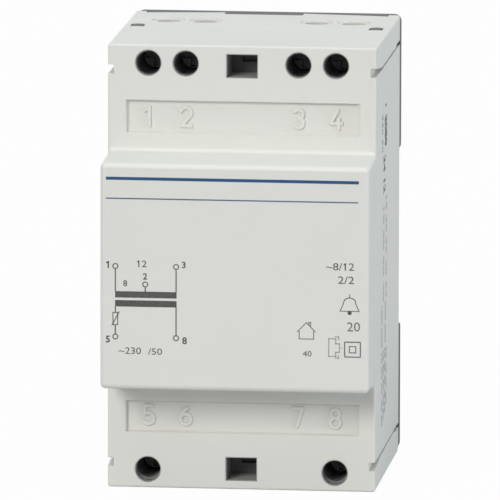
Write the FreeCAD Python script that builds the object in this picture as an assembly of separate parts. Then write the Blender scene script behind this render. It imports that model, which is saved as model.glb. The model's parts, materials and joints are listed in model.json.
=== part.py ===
"""Bell transformer in a modular housing for a 35 mm mounting rail. Millimetres.

Places below are measured from the middle of the terminal face: X to the right, Y to the
rear, Z up. save() moves each piece to the part's own frame, whose origin is the middle of
the foot, with the front towards -Y and +Z up.
"""
import FreeCAD, Part
import math
import os

os.makedirs("parts", exist_ok=True)
Vector = FreeCAD.Vector

# Overall size
module_width = 18.0
modules = 3
width = module_width * modules
height = 90.0
shoulder_depth = 47.7        # terminal face to rail plane
block_rise = 13.0            # raised middle block in front of the terminal face
shoulder_height = 22.2       # from each end of the housing to the block's front face
block_draft = 0.6            # how much each end of the block spreads towards its root
land_rise = 3.5              # rear lands behind the rail plane

# Housing walls and edges
side_wall = 1.6
end_wall = 1.2
front_wall = 2.0
block_wall = 1.8
block_edge = 1.0
block_corner = 1.0
shoulder_edge = 0.4
corner_edge = 0.5
root_fillet = 0.8
foot_bevel_depth = 3.6
foot_bevel_rise = 1.0
bite = 0.5                   # how far a rib or arm starts inside the wall that it joins
past = 1.0                   # how far a cut runs past the face that it opens

# Terminal columns, counted in pitches from the middle
outer_pitches = 2.5
inner_pitches = 1.5
column_side_gap = 8.125      # from the housing's side to the outer column
tool_hole_d = 5.4
tool_hole_offset = 0.4       # how much further out the tool holes lie than the screws
wire_entry_d = 4.7
wire_to_rail = 12.2          # from the wire entries to the rail plane
wire_rim = 1.0
wire_rim_depth = 0.25

# Middle openings between the terminals
pocket_width = 6.43
pocket_height = 4.9
pocket_end_gap = 4.13        # from the housing's end to the pocket's middle
pocket_wall = 0.9

# Label recesses with raised digits
label_left_gap = 3.65
label_right_gap = 3.2
label_end_gap = 11.3
upper_label_gap = 3.55       # from the block's root to the recess
lower_label_gap = 3.9
label_depth = 1.1
label_left_slope = 0.15
label_right_slope = 0.75
label_long_slope = 0.25
digit_height = 4.4
digit_stroke = 0.7
digit_rise = 0.35
digit_root = 0.3             # how far a digit starts inside the recess's floor
digit_bottom_gap = 1.2       # from the recess's lower edge to the digit's foot

# Side grooves
groove_end_gap = 5.1         # from the housing's end to the groove's middle
groove_height = 1.8
groove_depth = 1.2
groove_notch = 7.2           # open notch from the groove's end to the rail plane
groove_notch_height = 0.9
groove_taper = 11.0          # over this length the groove narrows to a slot
groove_slot_height = 0.5
groove_back = 1.0            # rib behind the groove, above and below it

# Snap windows
window_side_gap = 2.8        # from the housing's side to the window's middle
window_width = 2.8
window_to_rail = 22.2        # from the window's front edge to the rail plane
window_length = 4.4

# Rear notches and lands
notch_half_width = 8.0
notch_depth = 2.5
upper_notch_shift = -0.6
rear_gap_depth = 1.9         # how far the top wall ends before the rail plane at its sides
rear_gap_corner = 2.2        # from the housing's side to the end of that gap
land_corner = 1.4
land_bevel = 0.6
upper_land_gap = 0.3         # from the rail's upper edge to the land
lower_land_gap = 1.3         # from the rail's lower edge to the land
upper_land_inset = 0.2
lower_land_inset = 0.1
land_pocket_depth = 1.4
land_pocket_width = 11.0
land_pocket_height = 16.0
land_pocket_side_gap = 4.0

# Rear base
base_clearance = 0.15
base_floor = 3.0
arm_width = 2.2
arm_thickness = 1.65
arm_end_gap = 1.0            # from the window's front edge to the arm's tip
nub_drop = 0.05              # nub top below the housing's outer face
nub_clearance = 0.3
pillar_width = 2.9
pillar_height = 4.0

# Mounting rail and its hooks
rail_half_height = 17.5
rail_flange = 1.0
rail_play = 0.2
hook_grip = 1.8
hook_width = 8.0
hook_line = 12.0

# Rail latch and spring
latch_half_width = 6.4
latch_wing = 1.4
latch_play = 0.2
latch_wing_gap = 0.2         # from the wings' rear to the rail plane
latch_wing_cover = 0.8       # from the land's inner edge to the wings' channel
latch_travel = 3.0
latch_back_gap = 0.5         # from the rail's edge to the latch's shoulder
latch_foot_gap = 0.3
latch_bed_depth = 1.7        # from the bed that the latch slides on to the rail plane
tab_slot_half_width = 2.2
tab_slot_height = 1.4
tab_slot_margin = 1.5
spring_closed_length = 5.0   # with the latch pulled right out
spring_wire = 0.5
spring_outer = 3.2
spring_turns = 7
spring_side_gap = 0.3
peg_height = 2.0
peg_play = 0.1
peg_half_width = 1.5
peg_rear_gap = 0.6

# Core: laminations in the XZ plane, stacked along Y, coil axis along X
core_side_gap = 2.9          # least gap from the core to the housing's side wall
core_end_gap = 6.0           # least gap from the core to a terminal block
coil_end_gap = 3.0           # least gap from the coil to the end of the raised block
core_front_gap = 1.25        # from the front wall to the stack
core_seat_gap = 0.05
seat_rib_width = 2.0         # ribs in the housing that the core's corners rest on
seat_rib_inset = 1.0         # from the core's side to the rib
seat_rib_edge = 0.5          # from the core's end to the rib
seat_rib_root = 0.6          # from the raised block's root to the rib

# Coil former
former_play = 0.2
former_wall = 0.8
flange_thickness = 1.0
winding_room = 0.8           # winding below the flange rim
tape_thickness = 0.4
rail_room = 0.1
pin_rail_height = 2.6
pin_rail_depth = 4.4
pin_rail_lift = 0.35         # rail above the core's rear face
pin_setback = 1.2            # from the rail's front to the pins
pin_size = 0.8
pin_out = 2.8
pin_in = 1.6
pin_inset = 1.975            # from the former's end to its outer pins

# Terminals
screw_r = 1.5
thread_play = 0.05
head_r = 2.3
head_height = 2.2
head_seat_wall = 4.25        # from the seat under the head to the cage's pocket
head_seat_gap = 0.1
head_cover = 0.1             # from the block's front face to the head
cross_width = 0.8
cross_length = 4.0
cross_depth = 1.3
screw_tip_gap = 0.5          # from the screw's tip to the contact bar
cage_spacing = 1.15          # between neighbouring cages
cage_inward = 4.15           # from the screw's axis to the cage's inner side
cage_outward = 2.45          # from the screw's axis to the cage's outer side
cage_side = 0.8
cage_end = 2.5
cage_jaw = 1.5
cage_opening = 4.7           # from the front of the open cage's window to the contact bar
cage_wire_gap = 0.45         # from the wire entry's rear edge to the cage's jaw
cage_travel = 4.0
cage_play = 0.15
cage_front_play = 0.45
cage_rear_play = 0.3
bar_thickness = 1.2
bar_side_gap = 0.2           # from the bar to the cage's sides
bar_tail = 5.0               # how far the bar stands out of its block
bar_top_gap = 0.3            # from the bar's end to the cage's outer side
bar_wire_gap = 0.75          # from the bar's rear face to the wire entry's front edge

# Terminal blocks
block_span = 12.0            # from the housing's end to the block's inner face
block_side_wall = 0.6
block_top_gap = 0.1
block_pocket_gap = 0.1       # from the housing's middle pocket to the block's tongue
guide_wall = 0.9             # wall of the round guides in front of the screws
guide_end_wall = 0.4         # the same wall where it faces the housing's end
guide_gap = 0.3              # from the housing's front wall to the guides
seat_bore_play = 0.15
shank_bore_play = 0.2
relief_half_width = 6.5
relief_front_wall = 5.5      # of the block, in front of the relief
relief_rear_wall = 2.7
tongue_length = 2.8
tongue_play = 0.2
tongue_slot_height = 0.9
tongue_slot_depth = 1.5
tongue_slot_start = -1.0

# Leads and thermistor
lead_r = 0.5
lead_bend = 1.6
thermistor_d = 8.0
thermistor_thickness = 3.0
thermistor_gap = 0.35        # from the core's rear to the thermistor

# Housing, worked out from the sizes above
half_width = width / 2
half_height = height / 2
half_block = half_height - shoulder_height
block_root = half_block + block_draft
total_depth = block_rise + shoulder_depth + land_rise
rear = shoulder_depth + land_rise
inner_half_width = half_width - side_wall
inner_half_height = half_height - end_wall
pocket_line = half_height - pocket_end_gap
label_left = -half_width + label_left_gap
label_right = half_width - label_right_gap
upper_label = (block_root + upper_label_gap, half_height - label_end_gap)
lower_label = (-half_height + label_end_gap, -block_root - lower_label_gap)
groove_line = half_height - groove_end_gap
groove_length = shoulder_depth - groove_notch
window_line = half_width - window_side_gap
window_start = shoulder_depth - window_to_rail
terminal_pitch = (half_width - column_side_gap) / outer_pitches
outer_column = outer_pitches * terminal_pitch
inner_column = inner_pitches * terminal_pitch
wire_line = shoulder_depth - wire_to_rail

# Terminals, from the wire entries forward to the block's face and the middle pocket
bar_rear = wire_line - wire_entry_d / 2 - bar_wire_gap
bar_front = bar_rear - bar_thickness
bar_middle = bar_rear - bar_thickness / 2
cage_gap_front = bar_front - cage_opening
cage_gap_rear = wire_line + wire_entry_d / 2 + cage_wire_gap
cage_front = cage_gap_front - cage_end
cage_rear = cage_gap_rear + cage_jaw
cage_pocket_front = cage_front - cage_travel - cage_front_play
head_seat = cage_pocket_front - head_seat_wall
head_front = head_seat - head_seat_gap - head_height
block_face = head_front - head_cover
pocket_depth = block_face - tongue_length - block_pocket_gap
block_low = half_height - block_span
block_high = inner_half_height - block_top_gap
bar_foot = block_low - bar_tail
seat_bore_r = head_r + seat_bore_play
screw_line = block_high - guide_end_wall - seat_bore_r
tool_hole_line = screw_line + tool_hole_offset
cage_low = screw_line - cage_inward
cage_high = screw_line + cage_outward
cage_half_width = (terminal_pitch - cage_spacing) / 2
bar_half_width = cage_half_width - cage_side - bar_side_gap

# Core: the largest of the usual form that leaves its gaps. leg_half is half of the middle
# leg and the whole of every other limb.
leg_half = min((inner_half_width - core_side_gap) / 2.5,
               (block_low - core_end_gap) / 3,
               (half_block - block_wall - coil_end_gap) / 2)
limb = leg_half
core_half_x = 2.5 * leg_half
core_half_z = 3 * leg_half
window_half_x = 1.5 * leg_half
pin_middle = bar_middle
pin_rail_front = pin_middle - pin_setback
stack_front = front_wall + core_front_gap
stack_rear = pin_rail_front - pin_rail_lift
stack = stack_rear - stack_front
core_middle = (stack_front + stack_rear) / 2

# Rear base, latch and spring
floor_front = shoulder_depth - base_floor
upper_land_start = rail_half_height + upper_land_gap
lower_land_start = -rail_half_height - lower_land_gap
land_pocket_line = half_width - land_pocket_side_gap - land_pocket_width / 2
hook_front = shoulder_depth + rail_flange + rail_play
latch_bed = shoulder_depth - latch_bed_depth
latch_top = -rail_half_height - latch_back_gap
latch_foot = -half_height + latch_foot_gap
tab_slot_top = latch_foot + tab_slot_margin + tab_slot_height
spring_length = spring_closed_length + latch_travel
spring_opening_length = spring_length + peg_height + peg_play
spring_top = (latch_top + tab_slot_top + spring_opening_length) / 2
peg_top = spring_top - spring_length

# Terminal number: (place across, +1 for the top row or -1 for the bottom row)
terminals = {
    1: (-outer_column, 1),
    2: (-inner_column, 1),
    3: (inner_column, 1),
    4: (outer_column, 1),
    5: (-outer_column, -1),
    8: (outer_column, -1),
}
digit_columns = {
    1: (-outer_column, 1),
    2: (-inner_column, 1),
    3: (inner_column, 1),
    4: (outer_column, 1),
    5: (-outer_column, -1),
    6: (-inner_column, -1),
    7: (inner_column, -1),
    8: (outer_column, -1),
}


def save(node, shape):
    """Move a piece to the part's own frame and write it."""
    moved = shape.copy()
    moved.translate(Vector(0, total_depth / 2 - rear, half_height))
    moved.exportStep("parts/" + node + ".step")


def box(x0, x1, y0, y1, z0, z1):
    """Box between two corners, given in either order."""
    low = Vector(min(x0, x1), min(y0, y1), min(z0, z1))
    return Part.makeBox(abs(x1 - x0), abs(y1 - y0), abs(z1 - z0), low)


def rod_y(radius, x, z, y0, y1):
    """Round rod from front to rear."""
    return Part.makeCylinder(radius, y1 - y0, Vector(x, y0, z), Vector(0, 1, 0))


def rod_z(radius, x, y, z0, z1):
    """Round rod upwards, between two heights given in either order."""
    low = min(z0, z1)
    return Part.makeCylinder(radius, abs(z1 - z0), Vector(x, y, low), Vector(0, 0, 1))


def join(pieces):
    """One solid from pieces that meet."""
    return pieces[0].multiFuse(pieces[1:]).removeSplitter()


def cross_edges(shape, y, z):
    """Edges that run from side to side at the place y, z."""
    found = []
    for edge in shape.Edges:
        bounds = edge.BoundBox
        if abs(bounds.YLength) + abs(bounds.ZLength) > 1e-6:
            continue
        if abs(bounds.YMin - y) < 1e-6 and abs(bounds.ZMin - z) < 1e-6:
            found.append(edge)
    return found


def depth_edges(shape, x, z):
    """Edges that run from front to rear at the place x, z."""
    found = []
    for edge in shape.Edges:
        bounds = edge.BoundBox
        if abs(bounds.XLength) + abs(bounds.ZLength) > 1e-6:
            continue
        if abs(bounds.XMin - x) < 1e-6 and abs(bounds.ZMin - z) < 1e-6:
            found.append(edge)
    return found


# Raised digits, drawn as strokes in a cell that is 3.7 units tall
def line(x0, z0, x1, z1):
    return ("line", x0, z0, x1, z1)


def arc(x, z, radius, start, end):
    return ("arc", x, z, radius, start, end)


cell_height = 3.7
digit_strokes = {
    1: [line(-0.85, 2.95, 0.15, 3.7), line(0.15, 3.7, 0.15, 0)],
    2: [arc(0, 2.65, 1.05, -35, 165), line(0.86, 2.05, -1.0, 0), line(-1.0, 0, 1.05, 0)],
    3: [arc(0, 2.8, 0.9, -90, 150), arc(0, 0.95, 0.95, -150, 90)],
    4: [line(0.35, 3.7, -1.1, 1.05), line(-1.1, 1.05, 1.1, 1.05), line(0.5, 2.1, 0.5, 0)],
    5: [line(-0.75, 3.7, 0.85, 3.7), line(-0.75, 3.7, -0.85, 1.92), arc(0, 1.12, 1.12, -150, 135)],
    6: [arc(0, 1.05, 1.05, 0, 360), arc(1.25, 1.2, 2.3, 108, 180)],
    7: [line(-1.0, 3.7, 1.0, 3.7), line(1.0, 3.7, -0.25, 0)],
    8: [arc(0, 2.8, 0.88, 0, 360), arc(0, 0.98, 0.98, 0, 360)],
}


def line_stroke(start, end, radius, y0, y1):
    """Flat bar with round ends between two points (x, z)."""
    span = math.dist(start, end)
    bar = box(0, span, y0, y1, -radius, radius)
    turn = -math.degrees(math.atan2(end[1] - start[1], end[0] - start[0]))
    bar.rotate(Vector(0, 0, 0), Vector(0, 1, 0), turn)
    bar.translate(Vector(start[0], 0, start[1]))
    ends = [rod_y(radius, point[0], point[1], y0, y1) for point in (start, end)]
    return [bar] + ends


def arc_stroke(centre, bend, start, end, radius, y0, y1):
    """Flat curved bar with round ends, from one angle to another about its centre."""
    sweep = end - start
    place = Vector(centre[0], y1, centre[1])
    front = Vector(0, -1, 0)
    outer = Part.makeCylinder(bend + radius, y1 - y0, place, front, sweep)
    inner = Part.makeCylinder(bend - radius, y1 - y0, place, front)
    low = outer.CenterOfMass - place
    turn = (start + end) / 2 - math.degrees(math.atan2(low.z, low.x))
    if sweep < 360:
        outer.rotate(place, Vector(0, -1, 0), turn)
    band = outer.cut(inner)
    if sweep == 360:
        return [band]
    ends = []
    for angle in (start, end):
        x = centre[0] + bend * math.cos(math.radians(angle))
        z = centre[1] + bend * math.sin(math.radians(angle))
        ends.append(rod_y(radius, x, z, y0, y1))
    return [band] + ends


def digit(number, x, z, y0, y1):
    """One raised digit, centred on x with its foot at z."""
    radius = digit_stroke / 2
    scale = (digit_height - digit_stroke) / cell_height
    foot = z + radius
    pieces = []
    for stroke in digit_strokes[number]:
        if stroke[0] == "line":
            start = (x + scale * stroke[1], foot + scale * stroke[2])
            end = (x + scale * stroke[3], foot + scale * stroke[4])
            pieces += line_stroke(start, end, radius, y0, y1)
        else:
            centre = (x + scale * stroke[1], foot + scale * stroke[2])
            bend = scale * stroke[3]
            pieces += arc_stroke(centre, bend, stroke[4], stroke[5], radius, y0, y1)
    return join(pieces)


# Front housing
def raised_block():
    """Middle block in front of the terminal face, rounded all round, with its root in the cap."""
    spread = block_draft * (block_rise + bite) / block_rise
    outline = [
        Vector(-half_width, -block_rise, half_block),
        Vector(-half_width, bite, half_block + spread),
        Vector(-half_width, bite, -half_block - spread),
        Vector(-half_width, -block_rise, -half_block),
    ]
    face = Part.Face(Part.makePolygon(outline + outline[:1]))
    body = face.extrude(Vector(width, 0, 0))
    sloping = []
    for edge in body.Edges:
        if edge.BoundBox.XLength < 1e-6 and edge.BoundBox.YLength > block_rise:
            sloping.append(edge)
    body = body.makeFillet(block_corner, sloping)
    front = []
    for edge in body.Edges:
        if edge.BoundBox.YMax < -block_rise + 1e-6:
            front.append(edge)
    return body.makeFillet(block_edge, front)


def housing_outside():
    """The cap's outer form: two terminal shoulders and the raised middle block."""
    foot_bevel_start = shoulder_depth - foot_bevel_depth
    outline = [
        Vector(-half_width, 0, half_height),
        Vector(-half_width, shoulder_depth, half_height),
        Vector(-half_width, shoulder_depth, -half_height + foot_bevel_rise),
        Vector(-half_width, foot_bevel_start, -half_height),
        Vector(-half_width, 0, -half_height),
    ]
    face = Part.Face(Part.makePolygon(outline + outline[:1]))
    body = face.extrude(Vector(width, 0, 0))
    corners = []
    for side in (-1, 1):
        corners += depth_edges(body, side * half_width, half_height)
        corners += depth_edges(body, side * half_width, -half_height)
    body = body.makeFillet(corner_edge, corners)
    rims = cross_edges(body, 0, half_height) + cross_edges(body, 0, -half_height)
    body = body.makeFillet(shoulder_edge, rims)
    body = body.fuse(raised_block()).removeSplitter()
    roots = cross_edges(body, 0, block_root) + cross_edges(body, 0, -block_root)
    return body.makeFillet(root_fillet, roots)


def housing_inside():
    """The hollow behind the terminal face and in the block, open at the rear."""
    hollow = box(-inner_half_width, inner_half_width, front_wall, shoulder_depth + past,
                 -inner_half_height, inner_half_height)
    block_front = block_wall - block_rise
    inner_block = half_block - block_wall
    bump = box(-inner_half_width, inner_half_width, block_front, front_wall + past,
               -inner_block, inner_block)
    return hollow.fuse(bump)


def groove_ribs():
    """Ribs behind the side grooves, so that the wall keeps its thickness there."""
    ribs = []
    reach = groove_height / 2 + groove_back
    for side in (-1, 1):
        for row in (-1, 1):
            ribs.append(box(side * (inner_half_width + bite),
                            side * (inner_half_width - groove_depth),
                            front_wall - bite, groove_length,
                            row * groove_line - reach, row * groove_line + reach))
    return ribs


def core_ribs():
    """Short ribs behind the front wall that the core's corners rest on."""
    ribs = []
    outer_x = core_half_x - seat_rib_inset
    outer_z = core_half_z - seat_rib_edge
    for side in (-1, 1):
        for row in (-1, 1):
            ribs.append(box(side * (outer_x - seat_rib_width), side * outer_x,
                            front_wall - bite, stack_front - core_seat_gap,
                            row * (block_root + seat_rib_root), row * outer_z))
    return ribs


def groove_cut(side, row):
    """Side groove that narrows to a slot, which ends in an open notch at the rear."""
    floor_x = side * (half_width - groove_depth)
    inner = row * (groove_line - groove_height / 2)
    outer = inner + row * groove_height
    slot = inner + row * groove_slot_height
    slot_end = groove_length + bite
    corners = [Vector(floor_x, -past, inner), Vector(floor_x, -past, outer),
               Vector(floor_x, 0, outer), Vector(floor_x, groove_taper, slot),
               Vector(floor_x, slot_end, slot), Vector(floor_x, slot_end, inner)]
    profile = Part.Face(Part.makePolygon(corners + corners[:1]))
    groove = profile.extrude(Vector(side * (groove_depth + past), 0, 0))
    notch = box(side * (half_width + past), side * (inner_half_width - past),
                groove_length, shoulder_depth + past,
                inner, inner + row * groove_notch_height)
    return groove.fuse(notch)


def label_recess(low, high):
    """Shallow recess with sloped walls."""
    def outline(y, x0, x1, z0, z1):
        corners = [Vector(x0, y, z0), Vector(x1, y, z0), Vector(x1, y, z1), Vector(x0, y, z1)]
        return Part.makePolygon(corners + corners[:1])
    floor = outline(label_depth, label_left + label_left_slope,
                    label_right - label_right_slope,
                    low + label_long_slope, high - label_long_slope)
    sloped = Part.makeLoft([outline(0, label_left, label_right, low, high), floor], True)
    mouth = box(label_left, label_right, -past, 0, low, high)
    return sloped.fuse(mouth)


def pocket_cup(row):
    """Walls of the middle pocket, before its opening is cut."""
    reach_x = pocket_width / 2 + pocket_wall
    reach_z = pocket_height / 2 + pocket_wall
    return box(-reach_x, reach_x, front_wall - bite, pocket_depth,
               row * pocket_line - reach_z, row * pocket_line + reach_z)


def pocket_opening(row):
    return box(-pocket_width / 2, pocket_width / 2, -past, pocket_depth + past,
               row * pocket_line - pocket_height / 2, row * pocket_line + pocket_height / 2)


def rear_notch(row):
    middle = upper_notch_shift if row > 0 else 0
    return box(middle - notch_half_width, middle + notch_half_width,
               shoulder_depth - notch_depth, shoulder_depth + past,
               row * (inner_half_height - past), row * (half_height + past))


def rear_gap(side):
    """Thin wedge beside the upper notch, where the top wall ends before the rail plane."""
    near = upper_notch_shift + side * notch_half_width
    far = side * (half_width - rear_gap_corner)
    low = inner_half_height - past
    corners = [Vector(near, shoulder_depth, low),
               Vector(far, shoulder_depth - rear_gap_depth, low),
               Vector(far, shoulder_depth + past, low),
               Vector(near, shoulder_depth + past, low)]
    profile = Part.Face(Part.makePolygon(corners + corners[:1]))
    return profile.extrude(Vector(0, 0, end_wall + 2 * past))


def terminal_holes(x, row):
    """Tool hole in the front wall and wire entry, with its shallow rim, in the end wall."""
    z0 = row * (inner_half_height - past)
    z1 = row * (half_height + past)
    return [
        rod_y(tool_hole_d / 2, x, row * tool_hole_line, -past, front_wall),
        rod_z(wire_entry_d / 2, x, wire_line, z0, z1),
        rod_z(wire_entry_d / 2 + wire_rim, x, wire_line,
              row * (half_height - wire_rim_depth), z1),
    ]


def snap_window(x, row):
    """Opening with a straight front edge and a round rear end, for a snap arm's nub."""
    radius = window_width / 2
    straight = window_start + window_length - radius
    z0 = row * (inner_half_height - past)
    z1 = row * (half_height + past)
    front = box(x - radius, x + radius, window_start, straight, z0, z1)
    return front.fuse(rod_z(radius, x, straight, z0, z1))


def front_housing():
    body = housing_outside().cut(housing_inside())
    body = body.multiFuse(groove_ribs() + core_ribs() + [pocket_cup(-1), pocket_cup(1)])
    cuts = [rear_gap(-1), rear_gap(1)]
    for low, high in (upper_label, lower_label):
        cuts.append(label_recess(low, high))
    for x, row in terminals.values():
        cuts += terminal_holes(x, row)
    for row in (-1, 1):
        cuts.append(pocket_opening(row))
        cuts.append(rear_notch(row))
        for side in (-1, 1):
            cuts.append(groove_cut(side, row))
            cuts.append(snap_window(side * window_line, row))
    body = body.cut(cuts)
    digits = []
    for number, (x, row) in digit_columns.items():
        low = upper_label[0] if row > 0 else lower_label[0]
        digits.append(digit(number, x, low + digit_bottom_gap,
                            label_depth - digit_rise, label_depth + digit_root))
    return body.multiFuse(digits).removeSplitter()


# Rear base
def land(z0, z1, outer_side):
    """Raised land behind the rail plane, with round outer corners and a bevelled inner edge."""
    plate = box(-half_width, half_width, shoulder_depth, rear, z0, z1)
    outer = z1 if outer_side > 0 else z0
    inner = z0 if outer_side > 0 else z1
    corners = depth_edges(plate, half_width, outer) + depth_edges(plate, -half_width, outer)
    plate = plate.makeFillet(land_corner, corners)
    return plate.makeChamfer(land_bevel, cross_edges(plate, rear, inner))


def snap_arm(side, row):
    """Arm along the housing's corner, with a nub that sits in the snap window."""
    outer_x = inner_half_width - base_clearance
    outer_z = inner_half_height - base_clearance
    tip = window_start - arm_end_gap
    arm = box(side * (outer_x - arm_width), side * outer_x, tip, floor_front + bite,
              row * (outer_z - arm_thickness), row * outer_z)
    reach = window_width / 2 - nub_clearance
    straight = window_start + window_length - window_width / 2
    nub_foot = row * (outer_z - bite)
    nub_top = row * (half_height - nub_drop)
    nub = box(side * window_line - reach, side * window_line + reach,
              window_start + nub_clearance, straight, nub_foot, nub_top)
    nub = nub.fuse(rod_z(reach, side * window_line, straight, nub_foot, nub_top))
    allowed = box(-outer_x, outer_x, 0, shoulder_depth, -half_height, half_height)
    return arm.fuse(nub.common(allowed))


def rear_base():
    plate_x = inner_half_width - base_clearance
    plate_z = inner_half_height - base_clearance
    upper_land_end = half_height - upper_land_inset
    lower_land_end = -half_height + lower_land_inset
    pieces = [
        box(-plate_x, plate_x, floor_front, shoulder_depth, -plate_z, plate_z),
        land(upper_land_start, upper_land_end, 1),
        land(lower_land_end, lower_land_start, -1),
        box(upper_notch_shift - notch_half_width + base_clearance,
            upper_notch_shift + notch_half_width - base_clearance,
            shoulder_depth - notch_depth + base_clearance, shoulder_depth,
            plate_z - bite, upper_land_end),
    ]
    for side in (-1, 1):
        pieces.append(box(side * hook_line - hook_width / 2, side * hook_line + hook_width / 2,
                          hook_front, rear, rail_half_height - hook_grip,
                          upper_land_start + land_bevel + bite))
        for row in (-1, 1):
            pieces.append(snap_arm(side, row))
            pieces.append(box(side * (core_half_x - pillar_width), side * core_half_x,
                              stack_rear + core_seat_gap, floor_front + bite,
                              row * (core_half_z - pillar_height), row * core_half_z))
    body = join(pieces)
    slot_x = latch_half_width + latch_play
    wing_x = slot_x + latch_wing
    cuts = [
        box(-wing_x, wing_x, latch_bed, shoulder_depth, -half_height - past,
            lower_land_start - latch_wing_cover),
        box(-slot_x, slot_x, latch_bed, rear + past, -half_height - past,
            lower_land_start + past),
    ]
    for side in (-1, 1):
        for middle in ((upper_land_start + upper_land_end) / 2,
                       (lower_land_start + lower_land_end) / 2):
            cuts.append(box(side * land_pocket_line - land_pocket_width / 2,
                            side * land_pocket_line + land_pocket_width / 2,
                            rear - land_pocket_depth, rear + past,
                            middle - land_pocket_height / 2, middle + land_pocket_height / 2))
    body = body.cut(cuts)
    peg = box(-peg_half_width, peg_half_width, latch_bed - bite, rear - peg_rear_gap,
              peg_top - peg_height, peg_top)
    return body.fuse(peg).removeSplitter()


# Rail latch and spring
def rail_latch():
    bed = latch_bed + latch_play
    wing_x = latch_half_width + latch_wing
    wing_top = lower_land_start - latch_wing_cover - latch_play
    body = join([
        box(-latch_half_width, latch_half_width, bed, rear, latch_foot, latch_top),
        box(-wing_x, wing_x, bed, shoulder_depth - latch_wing_gap, latch_foot, wing_top),
        box(-latch_half_width, latch_half_width, hook_front, rear, latch_top,
            -rail_half_height + hook_grip),
    ])
    opening = spring_outer / 2 + spring_side_gap
    spring_opening = box(-opening, opening, bed - past, rear + past,
                         spring_top - spring_opening_length, spring_top)
    tab_slot = box(-tab_slot_half_width, tab_slot_half_width, bed - past, rear + past,
                   tab_slot_top - tab_slot_height, tab_slot_top)
    return body.cut([spring_opening, tab_slot])


def latch_spring():
    """Compression spring between the base's peg and the top of the latch's opening."""
    wire_r = spring_wire / 2
    mean_r = spring_outer / 2 - wire_r
    coil_length = spring_length - spring_wire
    helix = Part.makeHelix(coil_length / spring_turns, coil_length, mean_r)
    start = Part.makeCircle(wire_r, Vector(mean_r, 0, 0), Vector(0, 1, 0))
    coil = Part.Wire(helix).makePipeShell([Part.Wire(start)], True, True)
    middle = (latch_bed + rear) / 2
    coil.translate(Vector(0, middle, peg_top + wire_r))
    return coil


# Core
def core_e_stack():
    blank = box(-core_half_x, window_half_x, stack_front, stack_rear, -core_half_z, core_half_z)
    openings = [box(-window_half_x, window_half_x + past, stack_front - past,
                    stack_rear + past, row * leg_half, row * (leg_half + limb))
                for row in (-1, 1)]
    return blank.cut(openings)


def core_i_stack():
    return box(window_half_x, core_half_x, stack_front, stack_rear, -core_half_z, core_half_z)


# Coil former and windings
def ring(x0, x1, inner_z, inner_y, outer_z, outer_y):
    """Rectangular ring about the coil axis, with half sizes inside and outside."""
    outside = box(x0, x1, core_middle - outer_y, core_middle + outer_y, -outer_z, outer_z)
    inside = box(x0 - past, x1 + past, core_middle - inner_y, core_middle + inner_y,
                 -inner_z, inner_z)
    return outside.cut(inside)


tube_in_z = leg_half + former_play
tube_in_y = stack / 2 + former_play
tube_out_z = tube_in_z + former_wall
tube_out_y = tube_in_y + former_wall
flange_z = leg_half + limb - former_play
flange_y = stack / 2 + limb - former_play
former_half_x = window_half_x - former_play
tape_z = flange_z - winding_room + tape_thickness
tape_y = flange_y - winding_room + tape_thickness
pin_rail_inner = flange_z + rail_room
pin_rail_outer = pin_rail_inner + pin_rail_height
pin_tip = pin_rail_outer + pin_out
lead_cross = (pin_tip + bar_foot) / 2


def pin_place(x):
    """Place across of the former's pin that serves the terminal at x."""
    return x / outer_column * (former_half_x - pin_inset)


def coil_bobbin():
    half_flange = flange_thickness / 2
    pieces = [ring(-former_half_x, former_half_x, tube_in_z, tube_in_y,
                   tube_out_z, tube_out_y)]
    for x0 in (-former_half_x, -half_flange, former_half_x - flange_thickness):
        pieces.append(ring(x0, x0 + flange_thickness, tube_in_z, tube_in_y,
                           flange_z, flange_y))
    for row in (-1, 1):
        pieces.append(box(-former_half_x, former_half_x, pin_rail_front,
                          pin_rail_front + pin_rail_depth,
                          row * pin_rail_inner, row * pin_rail_outer))
        for x0 in (-former_half_x, -half_flange, former_half_x - flange_thickness):
            pieces.append(box(x0, x0 + flange_thickness, pin_rail_front,
                              pin_rail_front + pin_rail_depth,
                              row * (flange_z - bite), row * (pin_rail_inner + bite)))
    body = join(pieces)
    holes = [rod_z(pin_size / 2, pin_place(x), pin_middle,
                   row * (pin_rail_outer - pin_in), row * (pin_rail_outer + past))
             for x, row in terminals.values()]
    return body.cut(holes)


def bobbin_pins():
    pins = [rod_z(pin_size / 2, pin_place(x), pin_middle,
                  row * (pin_rail_outer - pin_in), row * pin_tip)
            for x, row in terminals.values()]
    return Part.makeCompound(pins)


def winding(side):
    """Winding in one of the former's two chambers."""
    x0 = side * flange_thickness / 2
    x1 = side * (former_half_x - flange_thickness)
    return ring(min(x0, x1), max(x0, x1), tube_out_z, tube_out_y,
                tape_z - tape_thickness, tape_y - tape_thickness)


def winding_tape(side):
    """Insulating tape round one winding."""
    x0 = side * flange_thickness / 2
    x1 = side * (former_half_x - flange_thickness)
    return ring(min(x0, x1), max(x0, x1), tape_z - tape_thickness, tape_y - tape_thickness,
                tape_z, tape_y)


# Terminals
def terminal_screw(x, row):
    z = row * screw_line
    under_head = head_front + head_height
    head = rod_y(head_r, x, z, head_front, under_head)
    body = head.fuse(rod_y(screw_r, x, z, under_head - bite, bar_front - screw_tip_gap))
    cuts = []
    for reach_x, reach_z in ((cross_length / 2, cross_width / 2),
                             (cross_width / 2, cross_length / 2)):
        cuts.append(box(x - reach_x, x + reach_x, head_front - past,
                        head_front + cross_depth, z - reach_z, z + reach_z))
    return body.cut(cuts)


def terminal_cage(x, row):
    low = row * cage_low
    high = row * cage_high
    body = box(x - cage_half_width, x + cage_half_width, cage_front, cage_rear, low, high)
    inner = cage_half_width - cage_side
    opening = box(x - inner, x + inner, cage_gap_front, cage_gap_rear,
                  row * (cage_low - past), row * (cage_high + past))
    thread = rod_y(screw_r + thread_play, x, row * screw_line, cage_front - past,
                   cage_gap_front + past)
    return body.cut([opening, thread])


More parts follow.
